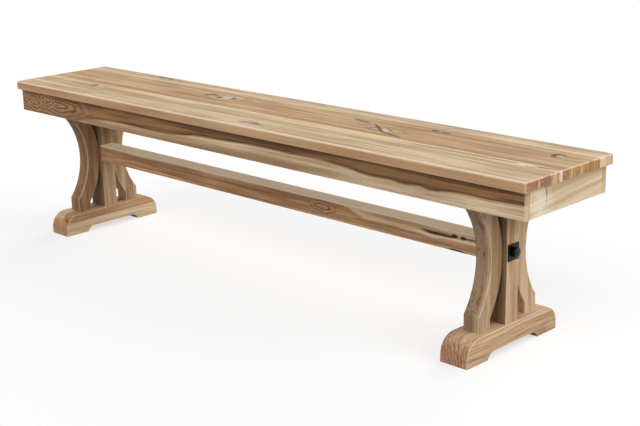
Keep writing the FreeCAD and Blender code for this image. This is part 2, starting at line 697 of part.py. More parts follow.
# Stretcher, tenoned into the inner faces of the posts
stretcher = doc.addObject("PartDesign::Body", "stretcher_blank")
stretcher_stock = stretcher.newObject("PartDesign::AdditiveBox", "stretcher_stock")
bind(stretcher_stock, Length=f"2 * {post_inside}", Width="Sizes.post_depth")
bind(stretcher_stock, Height="Sizes.stretcher_height")
place(stretcher_stock, f"-{post_inside}", "-Sizes.post_depth / 2", "-Sizes.stretcher_height / 2")
place(stretcher, "0", "0", "Sizes.stretcher_rise")
doc.recompute()
ease(stretcher, "Sizes.trestle_round", lambda edge: runs_along(edge, X_AXIS))
for sign in ENDS.values():
    add_tenon(stretcher, outwards(sign, post_inside, "Sizes.stretcher_tenon_length"),
              centred("Sizes.stretcher_tenon_thickness"), centred("Sizes.stretcher_tenon_height"))
piece("stretcher", stretcher, list(bolt_bores.values()) + list(nut_bores.values()))

# Trestles. The legs are dowelled to the foot and the head, and touch the post at the waist of the bow
leg_block_middle = "(Sizes.leg_reach - Sizes.leg_thickness / 2)"
dowel_rise = worked_out("dowel_rise", f"{apron_under} - Sizes.leg_dowel_depth / 2 - {bow_height}")
outer_bow_run = f"sqrt({bow_radius} ^ 2 - {dowel_rise} ^ 2)"
inner_bow_run = f"sqrt({back_radius} ^ 2 - {dowel_rise} ^ 2)"
leg_head_middle = worked_out("leg_head_middle", f"{bow_middle} - ({outer_bow_run} + {inner_bow_run}) / 2")
LEG_DOWELS = {
    "foot": (leg_block_middle, "Sizes.foot_height - Sizes.leg_dowel_depth", "2 * Sizes.leg_dowel_depth"),
    "head": (leg_head_middle, f"{apron_under} - Sizes.leg_dowel_depth",
             f"Sizes.leg_dowel_depth + {head_thickness} - Sizes.head_dowel_cover"),
}
for end, sign in ENDS.items():
    middle = f"{sign} * {trestle_middle}"
    dowels = []
    dowel_holes = {}
    for side, side_sign in SIDES.items():
        for level, (across, low, length) in LEG_DOWELS.items():
            for number, step in enumerate(BOTH_WAYS, start=1):
                name = f"leg_dowel_{end}_{side}_{level}_{number}"
                along = f"{middle} + {step} * (Sizes.leg_width / 2 - Sizes.leg_dowel_edge)"
                start = (along, f"{side_sign} * {across}", low)
                hole_start = (along, f"{side_sign} * {across}", f"{low} - Sizes.hole_gap")
                dowels.append(rod(name, start, UP, "Sizes.leg_dowel_diameter / 2", length))
                dowel_holes[level, side, number] = rod(f"{name}_hole", hole_start, UP,
                                                       "Sizes.leg_dowel_diameter / 2 + Sizes.hole_gap",
                                                       f"{length} + {roomy}")
    group(f"leg_dowels_{end}", dowels)
    mortise_x = centred(f"Sizes.post_tenon_width + {roomy}", middle)
    mortise_y = centred(f"Sizes.post_tenon_thickness + {roomy}")
    foot_mortise = block(f"foot_mortise_{end}", mortise_x, mortise_y,
                         ("Sizes.foot_height - Sizes.foot_tenon_length - Sizes.hole_gap",
                          f"Sizes.foot_tenon_length + {roomy}"))
    head_mortise = block(f"head_mortise_{end}", mortise_x, mortise_y,
                         (f"{apron_under} - Sizes.hole_gap", f"{head_tenon_length} + {roomy}"))
    post_mortise = block(f"post_mortise_{end}",
                         outwards(sign, f"{post_inside} - Sizes.hole_gap",
                                  f"Sizes.stretcher_tenon_length + {roomy}"),
                         centred(f"Sizes.stretcher_tenon_thickness + {roomy}"),
                         centred(f"Sizes.stretcher_tenon_height + {roomy}", "Sizes.stretcher_rise"))

    piece(f"foot_{end}", foot_blank(f"foot_{end}", middle), picked(dowel_holes, "foot") + [foot_mortise])
    piece(f"post_{end}", post_blank(f"post_{end}", middle), [post_mortise, bolt_bores[end]])
    for side, turn in {"front": 0, "back": 180}.items():
        piece(f"leg_{end}_{side}", leg_blank(f"leg_{end}_{side}", middle, turn), picked(dowel_holes, side))
    head = plank(f"head_{end}", centred("Sizes.head_width", middle), centred(f"2 * {apron_back}"),
                 (apron_under, head_thickness))
    ease(head, "Sizes.strip_round", lambda edge: runs_along(edge, Y_AXIS) and at(edge, Z_AXIS, 0.0))
    piece(f"head_{end}", head,
          picked(dowel_holes, "head") + [head_mortise] + picked(ledger_holes, "head", end))

# Draw leaves: an end apron, two boards behind it, two bearers and a tail rail screwed up under them
LEAF_SCREW_STEPS = (-1, 0, 1)
bearer_length = f"({end_apron_back} - {tail_rail_face})"
bearer_middle = f"(({end_apron_back} + {tail_rail_face}) / 2)"
for end, end_sign in ENDS.items():
    leaf_spots = {}
    for side, side_sign in SIDES.items():
        across = f"{side_sign} * {bearer_across}"
        for step in LEAF_SCREW_STEPS:
            along = f"{end_sign} * {bearer_middle} + {step} * ({bearer_length} / 2 - Sizes.leaf_screw_inset)"
            leaf_spots[side, "bearer", step] = ((along, across, bearer_under), UP)
        along = f"{end_sign} * ({leaf_tail} + Sizes.tail_rail_width / 2)"
        leaf_spots[side, "tail"] = ((along, across, bearer_under), UP)
    leaf_holes = screws_and_holes(f"leaf_screws_{end}", leaf_spots,
                                  f"{bearer_height} + Sizes.leaf_screw_bite")

    end_apron = plank(f"end_apron_{end}", outwards(end_sign, end_apron_back, "Sizes.apron_thickness"),
                      centred(f"2 * {leaf_edge}"), (apron_under, f"{leaf_top} - {apron_under}"))
    ease(end_apron, "Sizes.apron_round", lambda edge: runs_along(edge, Y_AXIS) and at(edge, Z_AXIS, 0.0))
    piece(f"end_apron_{end}", end_apron)
    for side, side_sign in SIDES.items():
        board = plank(f"leaf_board_{end}_{side}", outwards(end_sign, leaf_tail, "Sizes.leaf_length"),
                      outwards(side_sign, "0", leaf_edge), (leaf_under, "Sizes.leaf_thickness"))
        piece(f"leaf_board_{end}_{side}", board, picked(leaf_holes, side))
        bearer = plank(f"leaf_bearer_{end}_{side}", outwards(end_sign, tail_rail_face, bearer_length),
                       centred("Sizes.bearer_width", f"{side_sign} * {bearer_across}"),
                       (bearer_under, bearer_height))
        ease(bearer, "Sizes.strip_round", lambda edge: runs_along(edge, X_AXIS) and at(edge, Z_AXIS, 0.0))
        piece(f"leaf_bearer_{end}_{side}", bearer, picked(leaf_holes, side, "bearer"))
    tail = plank(f"leaf_tail_rail_{end}", outwards(end_sign, leaf_tail, "Sizes.tail_rail_width"),
                 centred(f"2 * ({ledger_face} - Sizes.tail_rail_gap)"), (bearer_under, bearer_height))
    piece(f"leaf_tail_rail_{end}", tail, picked(leaf_holes, "tail"))

# Checks: nothing failed, every cut took wood away, and each piece is made of valid solids
doc.recompute()
for item in doc.Objects:
    if "Invalid" in item.State or "Error" in item.State:
        raise RuntimeError(f"{item.Label} failed: {item.State}")
for cut in hole_cuts:
    if cut.Shape.Volume > cut.Base.Shape.Volume - LEAST_CUT:
        raise RuntimeError(f"{cut.Label}: its holes took nothing away")
for name, item in pieces.items():
    if item.Shape.isNull() or not item.Shape.isValid() or not item.Shape.Solids:
        raise RuntimeError(f"{name} is not a valid solid")

os.makedirs("parts", exist_ok=True)
for name, item in pieces.items():
    item.Shape.exportStep(f"parts/{name}.step")
    print(f"{name}: {len(item.Shape.Solids)} solid(s), {item.Shape.Volume / 1000:.1f} cm3")
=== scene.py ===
import math
import bpy
from mathutils import Matrix, Vector

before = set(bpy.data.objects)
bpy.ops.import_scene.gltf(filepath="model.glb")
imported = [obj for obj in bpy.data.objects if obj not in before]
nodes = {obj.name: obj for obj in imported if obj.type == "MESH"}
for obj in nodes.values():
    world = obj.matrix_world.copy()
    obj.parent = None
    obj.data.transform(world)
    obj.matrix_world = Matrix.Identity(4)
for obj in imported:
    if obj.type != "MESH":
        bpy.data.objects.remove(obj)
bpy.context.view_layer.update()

# Feet: two short beams that lie across the bench, one under each trestle. Each is glued up from two boards
# of rustic hickory, sawn to round toes with a relief below, sanded over at the edges and lacquered.
METRE = 1000.0


def linear(code):
    """An sRGB hex colour as the linear colour that a socket takes."""
    channels = [int(code[place:place + 2], 16) / 255 for place in (1, 3, 5)]
    return [c / 12.92 if c <= 0.04045 else ((c + 0.055) / 1.055) ** 2.4 for c in channels] + [1.0]


def add(tree, kind, inputs=None, **settings):
    """Adds a node and gives its first output. A socket given for an input is linked, anything else is set."""
    made = tree.nodes.new(kind)
    for name, setting in settings.items():
        setattr(made, name, setting)
    for key, given in (inputs or {}).items():
        named = [socket for socket in made.inputs if socket.enabled and socket.name == key]
        socket = named[0] if named else made.inputs[key]
        if isinstance(given, bpy.types.NodeSocket):
            tree.links.new(given, socket)
        else:
            socket.default_value = given
    return next((socket for socket in made.outputs if socket.enabled), None)


# The figure of sawn hickory, which all the boards share. It gives the eye pale outer wood and brown heart,
# with straight streaks, fine fibres and pores. It works in a board's own frame in mm: x runs along the grain
# and the pith of the tree along the line y = z = 0, so the rings are arcs on sawn ends and lines on faces.
PATTERNS = {
    # name: length along the grain and width across it in mm, and octaves of detail. Fibres are drawn about
    # four times as coarse as they are, so that they show from across a room.
    "drift": (900, 150, 1.0),
    "cloud": (260, 60, 1.0),
    "wobble": (260, 26, 2.0),
    "streak": (340, 12, 3.0),
    "fibre": (170, 5.0, 2.0),
    "pore": (10, 0.7, 0.0),
}
GRAIN_BREAKUP = 0.55
RING_WOBBLE = 1.6
LATEWOOD_SHARPNESS = 3.0
BANDS_PER_RING = 0.27
figure = bpy.data.node_groups.new("sawn_hickory_figure", "ShaderNodeTree")
FIGURE_INPUTS = {
    "Place": "Vector", "Bend": "Float", "Drift": "Float", "Ring": "Float", "Heart radius": "Float",
    "Grain": "Vector", "Highlighted edges": "Vector", "Sap pale": "Color", "Sap deep": "Color", "Heart pale": "Color",
    "Heart deep": "Color", "Ends": "Color",
}
for name, kind in FIGURE_INPUTS.items():
    figure.interface.new_socket(name, in_out="INPUT", socket_type=f"NodeSocket{kind}")
for name, kind in {"Color": "Color", "Roughness": "Float", "Normal": "Vector"}.items():
    figure.interface.new_socket(name, in_out="OUTPUT", socket_type=f"NodeSocket{kind}")
given = add(figure, "NodeGroupInput").node.outputs
noise = {}
for name, (length, width, detail) in PATTERNS.items():
    stretched = add(figure, "ShaderNodeVectorMath",
                    {0: given["Place"], 1: (1 / length, 1 / width, 1 / width)}, operation="MULTIPLY")
    noise[name] = add(figure, "ShaderNodeTexNoise",
                      {"Vector": stretched, "Scale": 1.0, "Detail": detail, "Roughness": GRAIN_BREAKUP})
sway = add(figure, "ShaderNodeVectorMath",
           {0: noise["drift"].node.outputs["Color"], 1: (0.5, 0.5, 0.5)}, operation="SUBTRACT")
sway = add(figure, "ShaderNodeVectorMath", {0: sway, "Scale": given["Drift"]}, operation="SCALE")
swayed = add(figure, "ShaderNodeVectorMath", {0: sway, 1: given["Place"]}, operation="ADD")
across = add(figure, "ShaderNodeVectorMath", {0: swayed, 1: (0, 1, 1)}, operation="MULTIPLY")
from_pith = add(figure, "ShaderNodeVectorMath", {0: across}, operation="LENGTH")
radius = add(figure, "ShaderNodeMath", {0: from_pith, 1: given["Bend"]}, operation="ADD")
rings = add(figure, "ShaderNodeMath", {0: radius, 1: given["Ring"]}, operation="DIVIDE")
uneven = add(figure, "ShaderNodeMath", {0: noise["wobble"], 1: RING_WOBBLE, 2: rings},
             operation="MULTIPLY_ADD")
within = add(figure, "ShaderNodeMath", {0: uneven}, operation="FRACT")
latewood = add(figure, "ShaderNodeMath", {0: within, 1: LATEWOOD_SHARPNESS}, operation="POWER")
years = add(figure, "ShaderNodeMath", {0: uneven, 1: BANDS_PER_RING}, operation="MULTIPLY")
band = add(figure, "ShaderNodeTexNoise", {"W": years, "Scale": 1.0, "Detail": 2.0}, noise_dimensions="1D")
PORE_FROM, PORE_FULL = 0.62, 0.78
pore = add(figure, "ShaderNodeMapRange",
           {"Value": noise["pore"], "From Min": PORE_FROM, "From Max": PORE_FULL})
# Sawn ends show the rings plainly, and drink the lacquer. There the normal lies along the grain.
END_FROM, END_FULL = 0.55, 0.95
normal = add(figure, "ShaderNodeTexCoord").node.outputs["Normal"]
facing = add(figure, "ShaderNodeVectorMath", {0: normal, 1: given["Grain"]}, operation="DOT_PRODUCT")
facing = add(figure, "ShaderNodeMath", {0: facing}, operation="ABSOLUTE")
sawn_end = add(figure, "ShaderNodeMapRange", {"Value": facing, "From Min": END_FROM, "From Max": END_FULL},
               interpolation_type="SMOOTHSTEP")
hatch = add(figure, "ShaderNodeMath", {0: latewood, 1: sawn_end}, operation="MULTIPLY")
# How much each of these darkens the wood, and the sums at which it is palest and deepest
TONE_PALE, TONE_DEEP = 1.55, 2.08
tone = 0.0
for part, weight in ((latewood, 0.22), (band, 0.7), (noise["streak"], 1.2), (noise["fibre"], 0.95),
                     (noise["cloud"], 0.6), (pore, 0.2), (hatch, 0.5)):
    tone = add(figure, "ShaderNodeMath", {0: part, 1: weight, 2: tone}, operation="MULTIPLY_ADD")
tone = add(figure, "ShaderNodeMapRange", {"Value": tone, "From Min": TONE_PALE, "From Max": TONE_DEEP})
# Heartwood lies inside a radius, has a soft outline a few mm wide, and is darkest along its rim
HEART_FROM, HEART_FULL = -2.5, 3.5
HEART_RIM = 5
RIM_DARKENING = 0.35
depth = add(figure, "ShaderNodeMath", {0: given["Heart radius"], 1: radius}, operation="SUBTRACT")
heart = add(figure, "ShaderNodeMapRange", {"Value": depth, "From Min": HEART_FROM, "From Max": HEART_FULL},
            interpolation_type="SMOOTHSTEP")
rim = add(figure, "ShaderNodeMath", {0: depth, 1: HEART_RIM}, operation="SUBTRACT")
rim = add(figure, "ShaderNodeMath", {0: rim}, operation="ABSOLUTE")
rim = add(figure, "ShaderNodeMapRange",
          {"Value": rim, "From Min": HEART_RIM, "From Max": 0, "To Max": RIM_DARKENING})
heart_tone = add(figure, "ShaderNodeMath", {0: tone, 1: rim}, operation="ADD", use_clamp=True)
sapwood = add(figure, "ShaderNodeMix", {"Factor": tone, "A": given["Sap pale"], "B": given["Sap deep"]},
              data_type="RGBA")
heartwood = add(figure, "ShaderNodeMix",
                {"Factor": heart_tone, "A": given["Heart pale"], "B": given["Heart deep"]}, data_type="RGBA")
colour = add(figure, "ShaderNodeMix", {"Factor": heart, "A": sapwood, "B": heartwood}, data_type="RGBA")
colour = add(figure, "ShaderNodeMix", {"Factor": sawn_end, "A": colour, "B": given["Ends"]},
             data_type="RGBA", blend_type="MULTIPLY")
# Some stretches of a board are yellower and some pinker
YELLOWER = "#fff9ea"
PINKER = "#fdf6ee"
HUE_FROM, HUE_FULL = 0.35, 0.65
hue = add(figure, "ShaderNodeMapRange", {"Value": noise["cloud"], "From Min": HUE_FROM, "From Max": HUE_FULL})
warmth = add(figure, "ShaderNodeMix", {"Factor": hue, "A": linear(YELLOWER), "B": linear(PINKER)},
             data_type="RGBA")
colour = add(figure, "ShaderNodeMix", {"Factor": 1.0, "A": colour, "B": warmth},
             data_type="RGBA", blend_type="MULTIPLY")
# Painted highlight: the rounded edges are paler, as where they catch the light. There the normal leans
# halfway between two axes
EDGE_HIGHLIGHT = "#ecd3b4"
EDGE_HIGHLIGHT_SHARE = 0.5
LEAN_FROM, LEAN_FULL = 0.1, 0.5
turned = add(figure, "ShaderNodeVectorMath", {0: normal}, operation="ABSOLUTE")
axes = add(figure, "ShaderNodeSeparateXYZ", {0: turned}).node.outputs
lean_x = add(figure, "ShaderNodeMath", {0: axes["Y"], 1: axes["Z"]}, operation="MULTIPLY")
lean_y = add(figure, "ShaderNodeMath", {0: axes["Z"], 1: axes["X"]}, operation="MULTIPLY")
lean_z = add(figure, "ShaderNodeMath", {0: axes["X"], 1: axes["Y"]}, operation="MULTIPLY")
leans = add(figure, "ShaderNodeCombineXYZ", {"X": lean_x, "Y": lean_y, "Z": lean_z})
edge = add(figure, "ShaderNodeVectorMath", {0: leans, 1: given["Highlighted edges"]}, operation="DOT_PRODUCT")
edge = add(figure, "ShaderNodeMapRange",
           {"Value": edge, "From Min": LEAN_FROM, "From Max": LEAN_FULL, "To Max": EDGE_HIGHLIGHT_SHARE})
colour = add(figure, "ShaderNodeMix", {"Factor": edge, "A": colour, "B": linear(EDGE_HIGHLIGHT)},
             data_type="RGBA")
# Satin lacquer sinks a little into the open, darker grain, so that it is duller and lower there
SATIN, SUNKEN = 0.50, 0.66
GRAIN_DEPTH = 0.25
roughness = add(figure, "ShaderNodeMapRange", {"Value": tone, "To Min": SATIN, "To Max": SUNKEN})
height = add(figure, "ShaderNodeMath", {0: tone, 1: pore}, operation="ADD")
relief = add(figure, "ShaderNodeBump", {"Strength": 0.35, "Distance": GRAIN_DEPTH / METRE, "Height": height},
             invert=True)
add(figure, "NodeGroupOutput", {"Color": colour, "Roughness": roughness, "Normal": relief})

GRAIN_TURNS = {"x": (0, 0, 0), "y": (0, 0, -math.pi / 2), "z": (0, math.pi / 2, 0)}
GRAIN_AXES = {"x": (1, 0, 0), "y": (0, 1, 0), "z": (0, 0, 1)}
# Colours of a board are pale and deep outer wood, then pale and deep heart
HICKORY = ("#d3bd9c", "#ab8b66", "#b38e66", "#80593a")
LACQUERED_END = "#fbecd6"
LACQUER_SHEEN = 0.15


def timber(name, grain, pith, colours=HICKORY, ring=5.0, heart_radius=0.0, highlighted_edges=(1, 1, 1), shift=0.0,
           ends=LACQUERED_END, drift=50, tilt=0):
    """Solid wood in clear satin lacquer, which gives it a low, soft sheen. The pith is given across the
    grain, shift moves along the log, and drift is how far the rings sway, in mm. For the edges along each
    axis it takes how strong a painted highlight they get, and tilt is how many degrees the grain climbs."""
    material = bpy.data.materials.new(name)
    material.use_nodes = True
    tree = material.node_tree
    where = add(tree, "ShaderNodeTexCoord").node.outputs["Object"]
    turn = (math.radians(tilt), *GRAIN_TURNS[grain][1:])
    place = add(tree, "ShaderNodeMapping",
                {"Vector": where, "Location": (shift, -pith[0], -pith[1]), "Rotation": turn,
                 "Scale": (METRE, METRE, METRE)})
    pale_sap, deep_sap, pale_heart, deep_heart = (linear(code) for code in colours)
    board = add(tree, "ShaderNodeGroup",
                {"Place": place, "Drift": drift, "Ring": ring, "Heart radius": heart_radius,
                 "Grain": GRAIN_AXES[grain], "Highlighted edges": highlighted_edges, "Sap pale": pale_sap, "Sap deep": deep_sap,
                 "Heart pale": pale_heart, "Heart deep": deep_heart, "Ends": linear(ends)},
                node_tree=figure, name="board").node
    shader = tree.nodes["Principled BSDF"]
    shader.inputs["Specular IOR Level"].default_value = LACQUER_SHEEN
    tree.links.new(board.outputs["Color"], shader.inputs["Base Color"])
    tree.links.new(board.outputs["Roughness"], shader.inputs["Roughness"])
    tree.links.new(board.outputs["Normal"], shader.inputs["Normal"])
    return material


def dress(material, *names):
    """Gives CAD nodes a material."""
    for name in names:
        nodes[name].data.materials.clear()
        nodes[name].data.materials.append(material)


# How far the ragged outline of a stain strays, as a share of its half width, and how many lumps fit in that
RAGGED_REACH = 0.9
RAGGED_LUMPS = 1.3


def around(material, place, size, softness, turn=(0, 0, 0)):
    """How far a point lies inside a ragged ellipsoid in a board, from 0 at its outline to 1. Place and size
    are in mm along each axis, and turn is in degrees about each axis."""
    tree = material.node_tree
    where = add(tree, "ShaderNodeTexCoord").node.outputs["Object"]
    local = add(tree, "ShaderNodeMapping",
                {"Vector": where, "Location": [middle / METRE for middle in place],
                 "Rotation": [math.radians(angle) for angle in turn],
                 "Scale": [across / 2 / METRE for across in size]}, vector_type="TEXTURE")
    ragged = add(tree, "ShaderNodeTexNoise", {"Vector": local, "Scale": RAGGED_LUMPS, "Detail": 2.0})
    ragged = ragged.node.outputs["Color"]
    shaken = add(tree, "ShaderNodeVectorMath", {0: ragged, 1: [RAGGED_REACH] * 3, 2: local},
                 operation="MULTIPLY_ADD")
    centred = add(tree, "ShaderNodeVectorMath", {0: shaken, 1: [RAGGED_REACH / 2] * 3}, operation="SUBTRACT")
    reach = add(tree, "ShaderNodeVectorMath", {0: centred}, operation="LENGTH")
    return add(tree, "ShaderNodeMapRange", {"Value": reach, "From Min": 1.0, "From Max": 1.0 - softness},
               interpolation_type="SMOOTHSTEP")


def stain(material, colour, place, size, turn=(0, 0, 0), strength=0.8, softness=0.5):
    """Works a knot, streak or patch of a colour into a board."""
    tree = material.node_tree
    base = tree.nodes["Principled BSDF"].inputs["Base Color"]
    inside = around(material, place, size, softness, turn)
    share = add(tree, "ShaderNodeMath", {0: inside, 1: strength}, operation="MULTIPLY")
    mixed = add(tree, "ShaderNodeMix",
                {"Factor": share, "A": base.links[0].from_socket, "B": linear(colour)}, data_type="RGBA")
    tree.links.new(mixed, base)


# The right foot's sides have long brown streaks in tan. Its end shows brown rings up to a dark glue line,
# with a paler board beyond it and pale rays that run into it.
foot_right = timber("lacquered_hickory_foot_right", "y", (-640, -15),
                    ("#d9bfa0", "#a8886a", "#ccad98", "#a2806e"), ring=8.0, heart_radius=152,
                    highlighted_edges=(0, 1, 1), ends="#f8e6da", drift=20)
FOOT_STREAKS = (
    # place and size in mm, and turn in degrees
    ((809, 40, 26), (14, 260, 9), (2, 0, 0)),
    ((809, -110, 14), (14, 120, 10), (-3, 0, 0)),
    ((809, 110, 40), (14, 150, 6), (-4, 0, 0)),
    ((809, 125, 24), (14, 110, 12), (3, 0, 0)),
)
for place, size, turn in FOOT_STREAKS:
    stain(foot_right, "#8a6544", place, size, turn, strength=0.6, softness=0.9)
FOOT_TOE = -160
FOOT_RAYS = (
    # place along the bench and height in mm, and lean in degrees
    (760, 42, -42),
    (775, 42, -32),
    (786, 40, -14),
)
for x, z, lean in FOOT_RAYS:
    stain(foot_right, "#dcc0a5", (x, FOOT_TOE, z), (5, 110, 34), (0, lean, 0), strength=0.6, softness=0.8)
stain(foot_right, "#7d5a44", (792, FOOT_TOE - 10, 20), (4, 60, 60), strength=0.6)
dress(foot_right, "foot_right")
foot_left = timber("lacquered_hickory_foot_left", "y", (700, 150),
                   ("#ead7ba", "#c8ab87", "#cbab88", "#9c7550"), ring=9.0, heart_radius=116,
                   highlighted_edges=(0, 1, 1), shift=900, ends="#dcc8b8", drift=20)
dress(foot_left, "foot_left")

# Posts: squared hickory timbers that stand between the two legs of a trestle. Tenons at their ends sit in the
# foot and the head, and the iron tie passes through them into the stretcher.
POST = ("#d6bc9f", "#a08264", "#b59673", "#8d6c4a")
POST_MIDDLE = 215
TRESTLE = 770
POST_LOGS = {
    # name: the middle of its trestle along the bench, where the pith lies, and a shift along the log, in mm
    "post_right": (TRESTLE, (160, -700), 300),
    "post_left": (-TRESTLE, (-190, 690), 1300),
}
for name, (x, pith, shift) in POST_LOGS.items():
    post = timber(f"lacquered_hickory_{name}", "z", pith, POST, ring=7.0, highlighted_edges=(1, 1, 0.3), shift=shift,
                  drift=20)
    # Painted shade on the side towards the front leg, where the slot between them lies, and a browner patch
    # near the top of the outer side that is the painted shadow of the seat and end apron
    stain(post, "#5d412c", (x, -27, POST_MIDDLE), (140, 14, 900), strength=0.85)
    stain(post, "#80603f", (x + 33, 0, 340), (30, 120, 190), strength=0.6, softness=0.9)
    dress(post, name)

# Legs: bowed pieces sawn from thick hickory plank, one on each side of a post, so that their straight grain
# runs out at the curves. Dowels hold them to foot and head.
GREY_TAN = ("#c8ae92", "#8f7358", "#ab8863", "#7d5a3c")
BROWN = ("#b39374", "#825f44", "#ab8863", "#7d5a3c")
LEG_LOGS = {
    # name: where the pith lies across the grain, colours, and a shift along the log in mm
    "leg_right_front": ((-70, -400), GREY_TAN, 0),
    "leg_right_back": ((90, -430), POST, 700),
    "leg_left_front": ((-60, 1100), BROWN, 1500),
    "leg_left_back": ((90, 1150), POST, 2200),
}
LEG_HALF = 28
PIN_KNOTS = ((757, -67, 248), (772, -67, 239))


def swell(material, lift, place, size):
    """Bends the rings of a board round a knot by up to lift mm."""
    tree = material.node_tree
    bend = tree.nodes["board"].inputs["Bend"]
    before = bend.links[0].from_socket if bend.links else 0.0
    inside = around(material, place, size, 1.0)
    raised = add(tree, "ShaderNodeMath", {0: inside, 1: lift, 2: before}, operation="MULTIPLY_ADD")
    tree.links.new(raised, bend)


for name, (pith, colours, shift) in LEG_LOGS.items():
    leg = timber(f"lacquered_hickory_{name}", "z", pith, colours, ring=6.0, highlighted_edges=(0, 1, 1), shift=shift,
                 drift=20)
    if name == "leg_right_front":
        # Brown heart along the side towards the post, and two pin knots in front
        stain(leg, "#8f6a47", (800, -14, POST_MIDDLE), (60, 100, 900), strength=0.6, softness=0.12)
        for knot in PIN_KNOTS:
            swell(leg, 5, knot, (16, 40, 40))
            stain(leg, "#7a5a40", knot, (9, 30, 13), strength=0.6)
            stain(leg, "#4f3728", knot, (4.5, 30, 6))
    if name.endswith("front"):
        # All of it is browner but the side towards the right end of the bench
        left_side = (TRESTLE if "right" in name else -TRESTLE) - LEG_HALF
        stain(leg, "#6b4c34", (left_side, -60, POST_MIDDLE), (92, 700, 1600), strength=0.42, softness=0.2)
    dress(leg, name)

# Heads and dowels: a flat hickory cross rail on top of each trestle that ties it to the aprons, with turned
# birch dowels between it, the legs and the foot. Both are plain and straight-grained, as they are hidden; the
# birch is paler, with close, faint rings.
plain_across = timber("lacquered_hickory_cross_rail", "y", (-300, 250))
dress(plain_across, "head_left", "head_right")
dowel_birch = timber("turned_birch_dowel", "z", (400, 300), ("#e2cfae", "#c9ad83", "#c9ad83", "#b09266"),
                     ring=3.0)
dress(dowel_birch, "leg_dowels_left", "leg_dowels_right")

# Stretcher: one squared hickory beam between the posts, with a short tenon at each end. It keeps a knot, a
# streak of ingrown bark and the pale outer wood of the log along its top, made paler still by painted light.
stretcher = timber("lacquered_hickory_stretcher", "x", (0, 60), ("#ecd6b6", "#c8a67f", "#e2b892", "#a87f5c"),
                   ring=6.0, heart_radius=176, shift=4000, drift=6)
STRETCHER_FACE = -24
STRETCHER_HEART = [(-760, 257), (-500, 256), (-120, 257), (150, 258), (291, 257.5), (323, 250), (354, 242),
                   (389, 238.5), (442, 239.5), (494, 237), (545, 236.5), (584, 233), (619, 237), (671, 236.5),
                   (760, 243)]


def wander(material, line, level, side):
    """Bends the rings of a board that runs along x, so that its heart ends along a line of (x, z) points in
    mm. Level is where the heart would end by itself, and side is 1 if the heart is above the line, or -1."""
    tree = material.node_tree
    where = add(tree, "ShaderNodeTexCoord").node.outputs["Object"]
    along = add(tree, "ShaderNodeSeparateXYZ", {0: where})
    start = line[0][0]
    end = line[-1][0]
    share = add(tree, "ShaderNodeMapRange",
                {"Value": along, "From Min": start / METRE, "From Max": end / METRE})
    lowest = min(z for x, z in line)
    highest = max(z for x, z in line)
    curve = add(tree, "ShaderNodeFloatCurve", {"Value": share}).node
    points = curve.mapping.curves[0].points
    for x, z in line[1:-1]:
        points.new((x - start) / (end - start), (z - lowest) / (highest - lowest))
    points[0].location = (0, (line[0][1] - lowest) / (highest - lowest))
    points[len(line) - 1].location = (1, (line[-1][1] - lowest) / (highest - lowest))
    curve.mapping.update()
    bend = add(tree, "ShaderNodeMapRange", {"Value": curve.outputs[0], "To Min": side * (lowest - level),
                                            "To Max": side * (highest - level)})
    tree.links.new(bend, tree.nodes["board"].inputs["Bend"])


# A wave node of scale 1 draws its rings this far apart
WAVE_SPACING = 0.314
CURL_WAVER = 10.0


def burl(material, colours, place, size, ring, strength):
    """Works an eye of curled grain into a board, with wavering rings about so many mm apart."""
    tree = material.node_tree
    base = tree.nodes["Principled BSDF"].inputs["Base Color"]
    where = add(tree, "ShaderNodeTexCoord").node.outputs["Object"]
    local = add(tree, "ShaderNodeMapping",
                {"Vector": where, "Location": [middle / METRE for middle in place],
                 "Scale": [across / min(size) / METRE for across in size]}, vector_type="TEXTURE")
    lines = add(tree, "ShaderNodeTexWave",
                {"Vector": local, "Scale": WAVE_SPACING / ring, "Distortion": CURL_WAVER, "Detail": 2.5,
                 "Detail Scale": 1.0}, wave_type="RINGS", rings_direction="SPHERICAL")
    between = add(tree, "ShaderNodeMapRange", {"Value": lines, "From Min": 0.1, "From Max": 0.65})
    shade = add(tree, "ShaderNodeMix", {"Factor": between, "A": linear(colours[1]), "B": linear(colours[0])},
                data_type="RGBA")
    inside = around(material, place, size, 0.9)
    share = add(tree, "ShaderNodeMath", {0: inside, 1: strength}, operation="MULTIPLY")
    mixed = add(tree, "ShaderNodeMix", {"Factor": share, "A": base.links[0].from_socket, "B": shade},
                data_type="RGBA")
    tree.links.new(mixed, base)


wander(stretcher, STRETCHER_HEART, level=236, side=-1)
swell(stretcher, -24, (212, STRETCHER_FACE, 236), (110, 60, 60))
burl(stretcher, ("#bd9169", "#553623"), (218, STRETCHER_FACE, 238), (150, 60, 52), ring=8, strength=0.85)
STRETCHER_MARKS = (
    # colour, place along the bench and height, length, depth and width in mm, tilt in degrees, and strength
    ("#c39a80", 221, 242, 36, 30, 12, 0, 0.5),
    ("#a97f55", 520, 250, 420, 20, 14, 1, 0.6),
    ("#7f5637", 470, 230, 420, 20, 6, 1, 0.35),
    ("#7d5535", 300, 219, 600, 20, 7, 0, 0.35),
    ("#7d5535", -200, 240, 900, 20, 8, 0, 0.4),
    ("#6f4a2e", -30, 236, 520, 20, 70, 0, 0.3),
    ("#7d5535", -450, 222, 700, 20, 7, 0, 0.4),
    ("#fbe9cd", 640, 238, 260, 20, 9, 0, 0.6),
    ("#3f2518", 612, 243, 130, 20, 11, -1, 0.92),
    ("#3b2419", 575, 245, 70, 16, 5, 2, 0.85),
    ("#160d09", 653, 247, 26, 18, 12, 0, 0.95),
    ("#1a100c", 679, 246.5, 24, 18, 11, 0, 0.95),
    ("#4a2d1e", 706, 246.5, 60, 16, 6, 0, 0.85),
    ("#24150f", 664, 211.5, 76, 14, 9, 3, 0.92),
)
for colour, x, z, length, depth, width, tilt, strength in STRETCHER_MARKS:
    stain(stretcher, colour, (x, STRETCHER_FACE, z), (length, depth, width), (0, tilt, 0), strength)
